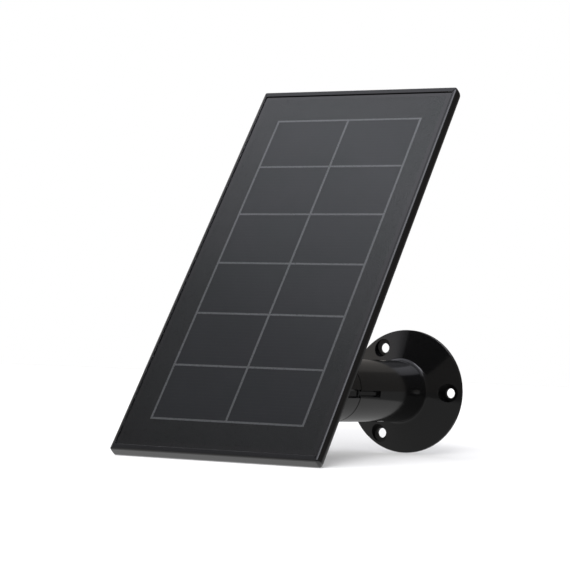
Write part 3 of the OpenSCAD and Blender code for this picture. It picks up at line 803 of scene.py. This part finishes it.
def front_frame():
    """The moulded frame: bulging long sides, flat short sides with a rounded foot, a rim round the glass."""
    side_r, middle = 6 * MM, (RIM + FRAME_BACK) / 2
    foot_r, foot_z, foot_angle = 1.65 * MM, -4 * MM, math.radians(50)
    edge, crown = 0.7 * MM, 1.4 * MM
    recess = (GLASS_W + 0.4 * MM, GLASS_H + 0.4 * MM, 1.2 * MM)
    window = (92 * MM, 205 * MM, 3 * MM)
    seal_in, seal_out = (102.9 * MM, 218.1 * MM, 2 * MM), (105.8 * MM, 221 * MM, 3 * MM)
    seal_floor = FRAME_BACK + 0.8 * MM

    def side_in(z):
        return side_r - math.sqrt(side_r ** 2 - (z - middle) ** 2)

    def end_in(z):
        if z >= foot_z:
            return 0.0
        t = math.asin(min(1, (foot_z - z) / foot_r))
        if t <= foot_angle:
            return foot_r * (1 - math.cos(t))
        z0, in0 = foot_z - foot_r * math.sin(foot_angle), foot_r * (1 - math.cos(foot_angle))
        return in0 + (foot_r - in0) * (z0 - z) / (z0 - FRAME_BACK)

    heights = [FRAME_BACK, -5.6 * MM]
    heights += [foot_z - foot_r * math.sin(t) for t in np.linspace(foot_angle, 0, 7)]
    heights += list(np.linspace(-3.4 * MM, RIM - edge, 7))
    loops = [panel_loop(FRAME_W, FRAME_H, CORNER_R, z, side_in(z), end_in(z)) for z in heights]
    for t in np.linspace(0, math.pi / 2, 10)[1:]:
        z, pull = RIM - edge + edge * math.sin(t), 1 - math.cos(t)
        loops.append(panel_loop(FRAME_W, FRAME_H, CORNER_R, z, side_in(z) + crown * pull, edge * pull))
    inner = 0.25 * MM
    for t in np.linspace(math.pi / 2, 0, 5):
        z, out = RIM - inner + inner * math.sin(t), inner * (1 - math.cos(t))
        loops.append(panel_loop(*recess, z, -out, -out))
    for size, z in ((recess, LEDGE), (window, LEDGE), (window, FRAME_BACK), (seal_in, FRAME_BACK),
                    (seal_in, seal_floor), (seal_out, seal_floor), (seal_out, FRAME_BACK)):
        loops.append(panel_loop(*size, z))
    obj = make_object("front_frame_moulding", loft(loops, closed=True), PANEL, "panel", "frame_plastic")
    posts = [at(x, y, rod(POST_R, POST_END, FRAME_BACK + 0.3 * MM)) for x, y in CASE_SCREWS]
    cut(obj, [joined(posts)], "UNION")
    cut(obj, [joined([at(x, y, rod(PILOT_R, -9.5 * MM, -4.6 * MM, 24)) for x, y in CASE_SCREWS])])
    smooth(obj, 45)
    finish_piece(obj, "front_frame")


def glass_pane():
    """The clear pane, with polished edges."""
    back, edge = glass_back + 0.05 * MM, 0.18 * MM
    levels = [(0.0, edge), (edge * 0.3, edge * 0.3), (edge, 0.0)]
    loops = [panel_loop(GLASS_W, GLASS_H, MM, back + up, pull, pull) for up, pull in levels]
    loops += [panel_loop(GLASS_W, GLASS_H, MM, -up, pull, pull) for up, pull in reversed(levels)]
    obj = make_object("glass_pane", loft(loops), PANEL, "panel", "cover_glass")
    smooth(obj, 60)
    finish_piece(obj, "cover_glass", "encapsulant")


# ---------------------------------------------------------------- panel back

HOUSING_Y, HOUSING_BACK, HOUSING_FLOOR = -43 * MM, -20 * MM, -18.5 * MM


def shell_outside():
    """The case's outer skin in one loft: seam, sloped sides, rear face, filleted housing."""
    loops = [panel_loop(106 * MM, 221.2 * MM, 3 * MM, FRAME_BACK, 0.25 * MM, 0.25 * MM),
             panel_loop(106 * MM, 221.2 * MM, 3 * MM, FRAME_BACK - 0.25 * MM)]
    slope = rounded([(0, -6.25, 0), (3.5, -11, 1.6), (9, -11, 0)], steps=6, closed=False)
    for x, z in slope[1:-1]:
        u = x / 3.5
        loops.append(panel_loop((106 - 6 * u) * MM, (221.2 - 8 * u) * MM, (3 + u) * MM, z * MM))
    side = rounded([(-6, -11, 0), (0, -11, 1.4), (2.5, -20, 1.8), (9, -20, 0)], steps=6, closed=False)
    for x, z in side[1:-1]:    # the housing's ends are steeper than its sides
        end = x if x < 0 else 0.3 * x if x < 2.5 else x - 1.75
        loops.append(panel_loop(48 * MM, 58 * MM, 6 * MM, z * MM, x * MM, end * MM, HOUSING_Y))
    return loft(loops)


def shell_hollow():
    """The room inside the case, which narrows into the housing."""
    mouth = (102.4 * MM, 217.6 * MM, 2 * MM)
    return loft([
        panel_loop(*mouth, FRAME_BACK + 0.5 * MM),
        panel_loop(*mouth, FRAME_BACK),
        panel_loop(96.4 * MM, 209.6 * MM, 3 * MM, -9.2 * MM),
        panel_loop(42 * MM, 54 * MM, 4 * MM, -9.2 * MM, middle=HOUSING_Y),
        panel_loop(39 * MM, 52.5 * MM, 4 * MM, -18 * MM, middle=HOUSING_Y),
    ])


hinge = PANEL.inverted() @ Vector(joint("cover_hinge")["pos_m"])
KNUCKLE_R, KNUCKLE_W, LUG_W, PIN_R = 0.9 * MM, 9 * MM, 1.6 * MM, 0.5 * MM
LUG_X = (KNUCKLE_W + LUG_W) / 2 + 0.3 * MM
stud_axis_y = (PANEL.inverted() @ STUD.translation).y
PCB_Y, STANDOFF_X = -59.4 * MM, 16 * MM
INSERT_R = 4.5 * MM


def back_shell():
    """The rear case with its screw pockets, brass-insert bore, outlet, hinge lugs and vent."""
    obj = make_object("rear_case", shell_outside(), PANEL, "panel", "shell_plastic")
    cut(obj, [shell_hollow()])
    bosses = [at(x, y, rod(POST_R, -9.5 * MM, POST_END)) for x, y in CASE_SCREWS]
    bosses.append(at(0, stud_axis_y, rod(8 * MM, HOUSING_FLOOR, -8 * MM, 96)))
    bosses += [at(s * STANDOFF_X, PCB_Y, rod(2.4 * MM, HOUSING_FLOOR, -14 * MM)) for s in (-1, 1)]
    cut(obj, [joined(bosses)], "UNION")
    for s in (-1, 1):
        lug = along_x(rod(KNUCKLE_R, -LUG_W / 2, LUG_W / 2, 32), hinge.y, hinge.z)
        arm = block((-LUG_W / 2, hinge.y, hinge.z - KNUCKLE_R),
                    (LUG_W / 2, hinge.y + 2.2 * MM, hinge.z + KNUCKLE_R))
        for bm in (lug, arm):
            cut(obj, [at(s * LUG_X, 0, bm)], "UNION")
    pocket = mm([(0, -12), (2.6, -12), (2.6, -9.8), (1.2, -9.8), (1.2, -8), (0, -8)])
    cut(obj, [
        joined([at(x, y, lathe(pocket)) for x, y in CASE_SCREWS]),
        at(0, stud_axis_y, rod(INSERT_R, -21 * MM, -10.5 * MM, 96)),
        block((-5 * MM, -74 * MM, -17.4 * MM), (5 * MM, -68 * MM, -13.8 * MM)),
        at(14 * MM, -22 * MM, rod(0.75 * MM, -21 * MM, -17 * MM, 24)),
        along_x(rod(PIN_R, -KNUCKLE_W, KNUCKLE_W, 24), hinge.y, hinge.z),
        joined([at(s * STANDOFF_X, PCB_Y, rod(0.9 * MM, -17.4 * MM, -13 * MM, 24)) for s in (-1, 1)]),
    ])
    soften(obj, 0.16 * MM, 2)
    finish_piece(obj, "back_shell")


def case_screws():
    """Eight pan-head screws with cross recesses."""
    profile = mm([(0, 0), (1.2, 0.02), (1.75, 0.14), (2.1, 0.36), (2.28, 0.7), (2.3, 0.95), (2.2, 1.1),
                  (1.2, 1.1), (1.2, 4.6), (0.7, 5.3), (0, 5.3)])
    obj = make_object("case_screw_set", lathe(profile, 48), PANEL, "panel", "screw_steel")
    long, short, depth, head_z = 1.15 * MM, 0.27 * MM, 0.6 * MM, -10.9 * MM
    cut(obj, [block((-x, -y, -MM), (x, y, depth)) for x, y in ((long, short), (short, long))])
    one = bmesh.new()
    one.from_mesh(obj.data)
    whole = joined([
        moved(one.copy(), Matrix.Translation((x, y, head_z)) @ Matrix.Rotation(0.5 * x / MM + y, 4, "Z"))
        for x, y in CASE_SCREWS
    ])
    one.free()
    whole.to_mesh(obj.data)
    whole.free()
    soften(obj, 0.05 * MM, 2)
    finish_piece(obj, "case_screws")


def stud_insert():
    """The knurled brass insert in the housing."""
    back, end, points, knurl_depth = HOUSING_BACK, HOUSING_BACK + 9.5 * MM, 120, 0.12 * MM
    lead, step = 0.3 * MM, 0.01
    bounds = [0.25, 2.2, 3.0, 4.6, 5.4, 7.0, 7.8, 9.5]    # knurled bands and smooth necks by turns

    def ring(radius, z, knurled=False):
        path = []
        for k in range(points):
            t = TAU * k / points
            r = radius - knurled * (k % 2) * knurl_depth
            path.append((r * math.cos(t), r * math.sin(t), z))
        return path

    loops = [ring(STUD_BORE + lead, back), ring(INSERT_R - 0.25 * MM, back), ring(INSERT_R, back + 0.25 * MM)]
    for i, (z0, z1) in enumerate(zip(bounds, bounds[1:])):
        knurled = i % 2 == 0
        r = INSERT_R if knurled else INSERT_R - 0.4 * MM
        loops += [ring(r, back + (z0 + step) * MM, knurled), ring(r, back + (z1 - step) * MM, knurled)]
    loops += [ring(INSERT_R, end), ring(STUD_BORE, end), ring(STUD_BORE, back + lead)]
    bm = moved(loft(loops, closed=True), Matrix.Translation((0, stud_axis_y, 0)))
    obj = make_object("brass_insert", bm, PANEL, "panel", "insert_brass")
    smooth(obj, 30)
    finish_piece(obj, "stud_insert")


def port_cover():
    """The rubber flap over the outlet: plug, hinge barrel and grip ridges."""
    face = -72.2 * MM
    front = face - 1.5 * MM
    flap = block((-7.5 * MM, front, -17.7 * MM), (7.5 * MM, face, -11.9 * MM))
    obj = make_object("outlet_cover", flap, PANEL, "port_cover", "cover_rubber")
    cut(obj, [
        block((-KNUCKLE_W / 2, front, hinge.z), (KNUCKLE_W / 2, face, -17.5 * MM)),
        along_x(rod(KNUCKLE_R, -KNUCKLE_W / 2, KNUCKLE_W / 2, 40), hinge.y, hinge.z),
        block((-4.3 * MM, face - 0.2 * MM, -17 * MM), (4.3 * MM, face + 1.2 * MM, -14.5 * MM)),
    ], "UNION")
    cut(obj, [along_x(rod(0.35 * MM, -3 * MM, 3 * MM, 24), front, z * MM) for z in (-13.5, -12.8)], "UNION")
    cut(obj, [along_x(rod(PIN_R + 0.06 * MM, -KNUCKLE_W, KNUCKLE_W, 32), hinge.y, hinge.z)])
    soften(obj, 0.18 * MM, 3)
    finish_piece(obj, "port_cover")


def port_pin():
    """The cover's pin, chamfered both ends."""
    half, c = LUG_X + LUG_W / 2, 0.12 * MM
    profile = [(0, -half), (PIN_R - c, -half), (PIN_R, -half + c), (PIN_R, half - c), (PIN_R - c, half),
               (0, half)]
    obj = make_object("cover_pin", along_x(lathe(profile, 32), hinge.y, hinge.z), PANEL, "panel",
                      "screw_steel")
    smooth(obj)
    finish_piece(obj, "port_pin")


for build in (wall_base, lock_ring, ball_shield, pivot_ball, stud, jam_nut, jam_washer, front_frame,
              glass_pane, back_shell, case_screws, stud_insert, port_cover, port_pin):
    build()

for row in frame["record"]["subparts"]:
    node = frame["nodes"][row["node"]]
    if not node.hide_render:
        paint(node, row["material_slot"])


# ---------------------------------------------------------------- studio

FLOOR_GAP, FLOOR_HALF = 0.2 * MM, 6

# name, azimuth and elevation in degrees, light it gives a level surface, angle across in degrees
FLOOR_SUNS = [
    ("front_sun", 24, 14, 0.70, 14), ("high_sun", 9, 27, 0.65, 36), ("back_sun", 195, 62, 0.25, 56),
]
FILL_SUN = ("panel_fill", -20, 50, 0.30, 60)


def make_floor():
    """A pale floor. The camera sees it white with a soft shadow. The gloss sees a painted glow instead, with no
    shadow: a small light table round the object and a bright strip under the panel's foot.
    """
    bm = bmesh.new()
    bmesh.ops.create_grid(bm, x_segments=1, y_segments=1, size=FLOOR_HALF)
    mesh = bpy.data.meshes.new("floor")
    bm.to_mesh(mesh)
    bm.free()
    floor = bpy.data.objects.new("floor", mesh)
    floor.location.z = cad_box[0][2] - FLOOR_GAP
    bpy.context.scene.collection.objects.link(floor)
    material, n, place = new_material("floor")
    x, y = n.add("ShaderNodeSeparateXYZ", {0: place}).outputs[:2]
    from_middle = n.math("ADD", y, 0.09)
    reach = n.math("SQRT", n.math("ADD", n.math("MULTIPLY", x, x),
                                  n.math("MULTIPLY", from_middle, from_middle)))
    # Painted light seen only in reflections: the floor glows brighter near the object, as a small light table.
    table = n.remap(reach, 0.14, 0.165, 0.36, 0.14, smooth_step=True)
    # Painted reflection: a glowing strip under the panel's foot, which the panel's underside mirrors.
    foot = n.math("MULTIPLY", n.remap(y, -0.18, -0.195, 0.0, 0.8, smooth_step=True),
                  n.remap(n.math("ABSOLUTE", x), 0.06, 0.075, 1.0, 0.0, smooth_step=True))
    painted_glow_for_reflections = n.add("ShaderNodeEmission", {"Color": rgb(1.0), "Strength": n.math("ADD", table, foot)})
    lift = n.add("ShaderNodeEmission", {"Color": rgb(1.0), "Strength": 0.27})
    lit = n.add("ShaderNodeBsdfDiffuse", {"Color": rgb(0.35)})
    shown = n.add("ShaderNodeAddShader", {0: lift.outputs[0], 1: lit.outputs[0]})
    n.show(n.mix_shaders(n.camera_ray(), painted_glow_for_reflections.outputs[0], shown.outputs[0]))
    mesh.materials.append(material)
    return floor


def make_world():
    """The studio that the gloss shows: a ceiling of light that fades towards the front, and dim walls.

    x, y and z are the direction's own: right, into the wall and up. The camera sees plain white.
    """
    world = bpy.data.worlds.new("studio")
    bpy.context.scene.world = world
    world.use_nodes = True
    n = Nodes(world.node_tree)
    way = n.add("ShaderNodeTexCoord").outputs["Generated"]
    x, y, z = n.add("ShaderNodeSeparateXYZ", {0: way}).outputs
    height = n.math("ADD", z, n.math("MULTIPLY", y, 0.5))
    rise = n.math("ADD", n.remap(height, 0.64, 0.705, 0.0, 0.27), n.remap(height, 0.705, 0.785, 0.0, 0.88))
    above = n.remap(z, 0.62, 0.76, 0.0, 1.0, smooth_step=True)
    zenith = n.remap(height, 0.86, 0.98, 1.0, 0.55)
    ceiling = n.math("MULTIPLY", n.math("MULTIPLY", rise, above), zenith)
    low = n.remap(z, 0.66, 0.78, 1.0, 0.0, smooth_step=True)
    left = n.remap(x, -0.35, -0.60, 0.0, 0.55, smooth_step=True)
    behind = n.remap(y, 0.55, 0.85, 0.0, 1.0, smooth_step=True)
    wall = n.remap(x, 0.08, 0.16, 0.19, 0.10, smooth_step=True)
    front = n.math("ADD", n.math("MULTIPLY", left, low), 0.17)
    sides = n.add("ShaderNodeMix", {0: behind, 2: front, 3: wall}, data_type="FLOAT").outputs[0]
    aim = n.add("ShaderNodeVectorMath", {0: way, 1: (0.33, -0.29, 0.90)}, operation="DOT_PRODUCT")
    softbox = n.remap(aim.outputs[1], 0.95, 0.98, 0.0, 3.0, smooth_step=True)
    light = n.math("ADD", n.math("ADD", ceiling, sides), softbox)
    tint = n.blend(n.remap(z, 0.45, 0.80, 0.0, 1.0), rgb(0.98, 0.93, 0.88), rgb(0.985, 0.99, 1.08))
    lit = n.add("ShaderNodeBackground", {"Color": tint, "Strength": light})
    seen = n.add("ShaderNodeBackground", {"Color": rgb(1.0), "Strength": 1.0})
    n.show(n.mix_shaders(n.camera_ray(), lit.outputs[0], seen.outputs[0]), "World")


def make_sun(name, azimuth, elevation, level, angle):
    """A broad light that is felt but not mirrored. level is the light it gives a level surface."""
    az, el = math.radians(azimuth), math.radians(elevation)
    toward = Vector((math.sin(az) * math.cos(el), -math.cos(az) * math.cos(el), math.sin(el)))
    data = bpy.data.lights.new(name, "SUN")
    data.energy = level * math.pi / math.sin(el)
    data.angle = math.radians(angle)
    sun = bpy.data.objects.new(name, data)
    sun.rotation_euler = toward.to_track_quat("Z", "Y").to_euler()
    sun.visible_glossy = False
    bpy.context.scene.collection.objects.link(sun)
    return sun


def make_lights(floor):
    """Suns that light only the floor, for its soft shadow, and one that lights everything."""
    only_floor = bpy.data.collections.new("lit_floor")
    only_floor.objects.link(floor)
    for row in FLOOR_SUNS:
        make_sun(*row).light_linking.receiver_collection = only_floor
    make_sun(*FILL_SUN)


make_world()
make_lights(make_floor())
bpy.context.scene.view_settings.view_transform = "Standard"
